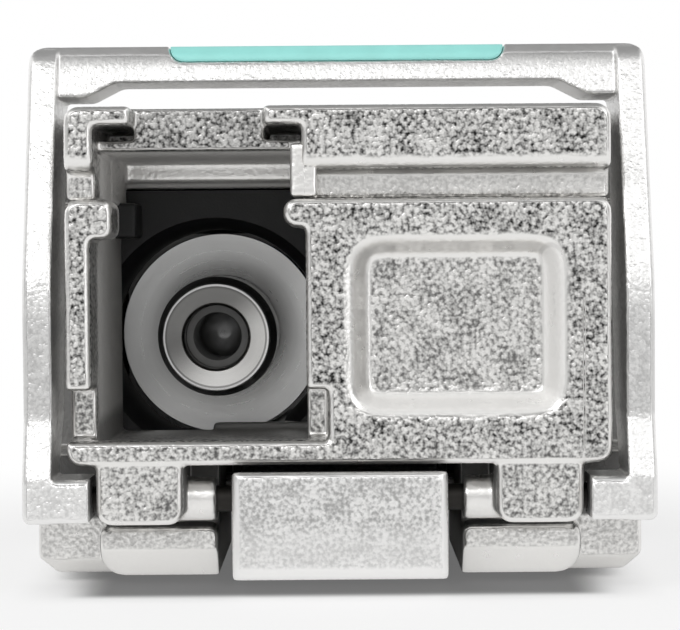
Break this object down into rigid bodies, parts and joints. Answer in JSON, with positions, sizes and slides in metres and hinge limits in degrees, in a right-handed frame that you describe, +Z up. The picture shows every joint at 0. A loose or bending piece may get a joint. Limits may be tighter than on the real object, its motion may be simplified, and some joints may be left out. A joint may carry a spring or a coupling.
{
  "type": "sfp transceiver",
  "caption": "Pluggable optical transceiver: a plated metal module with a fibre port in its nose, an edge connector at the rear and a swing-down bail that frees its latch.",
  "frame": {"origin": "centre of the body's underside, in the plane where the nose stops against the cage", "axes": "+X to the right seen from the front, +Y from the front face to the rear, +Z up"},
  "size_m": [0.0144, 0.0569, 0.0122],
  "materials": {
    "plated_casting": "nickel-plated casting with a coarse grain",
    "bail_casting": "nickel-plated casting with a fine grain",
    "colour_tab": "satin turquoise moulding",
    "steel_pin": "drawn and polished",
    "spring_sheet": "stamped bright sheet",
    "black_moulding": "matt black moulding",
    "turned_steel": "turned, fine rings",
    "zirconia": "polished white ceramic",
    "can_metal": "bright plated can",
    "flex_film": "amber film",
    "board_laminate": "green solder mask",
    "gold_plating": "gold plating",
    "chip_resin": "matt black resin",
    "chip_ceramic": "tan ceramic",
    "grey_pad": "soft grey pad"
  },
  "bodies": {
    "module": {"base_shell": "plated_casting", "top_cover": "plated_casting", "emi_collar": "spring_sheet", "rocker_pin": "steel_pin", "latch_spring": "spring_sheet", "lc_receptacle": "black_moulding", "bosa_flange": "turned_steel", "ferrule_barrel": "turned_steel", "zirconia_sleeve": "zirconia", "fibre_stub": "zirconia", "bosa_body": "turned_steel", "laser_can": "can_metal", "detector_can": "can_metal", "bosa_pad": "grey_pad", "laser_flex": "flex_film", "detector_flex": "flex_film", "circuit_board": "board_laminate", "edge_contacts": "gold_plating", "driver_chip": "chip_resin", "controller_chip": "chip_resin", "amplifier_chip": "chip_resin", "chip_capacitors": "chip_ceramic", "chip_resistors": "chip_resin", "thermal_pad": "grey_pad", "cover_screws": "steel_pin"},
    "bail": {"bail": "bail_casting", "bail_tab": "colour_tab", "bail_axle": "steel_pin", "release_cam": "steel_pin"},
    "lever": {"latch_rocker": "bail_casting"}
  },
  "joints": [
    {"name": "bail_hinge", "type": "hinge", "parent": "module", "child": "bail", "pos_m": [0, -0.0077, 0.00064], "axis": [1, 0, 0], "range_deg": [0, 90]},
    {"name": "lever_hinge", "type": "hinge", "parent": "module", "child": "lever", "pos_m": [0, -0.0026, 0.00045], "axis": [1, 0, 0], "range_deg": [0, 6.4], "deforming": ["latch_spring"]}
  ],
  "couplings": [
    {"joint": "lever_hinge", "follows": "bail_hinge", "ratio": 0.071}
  ]
}
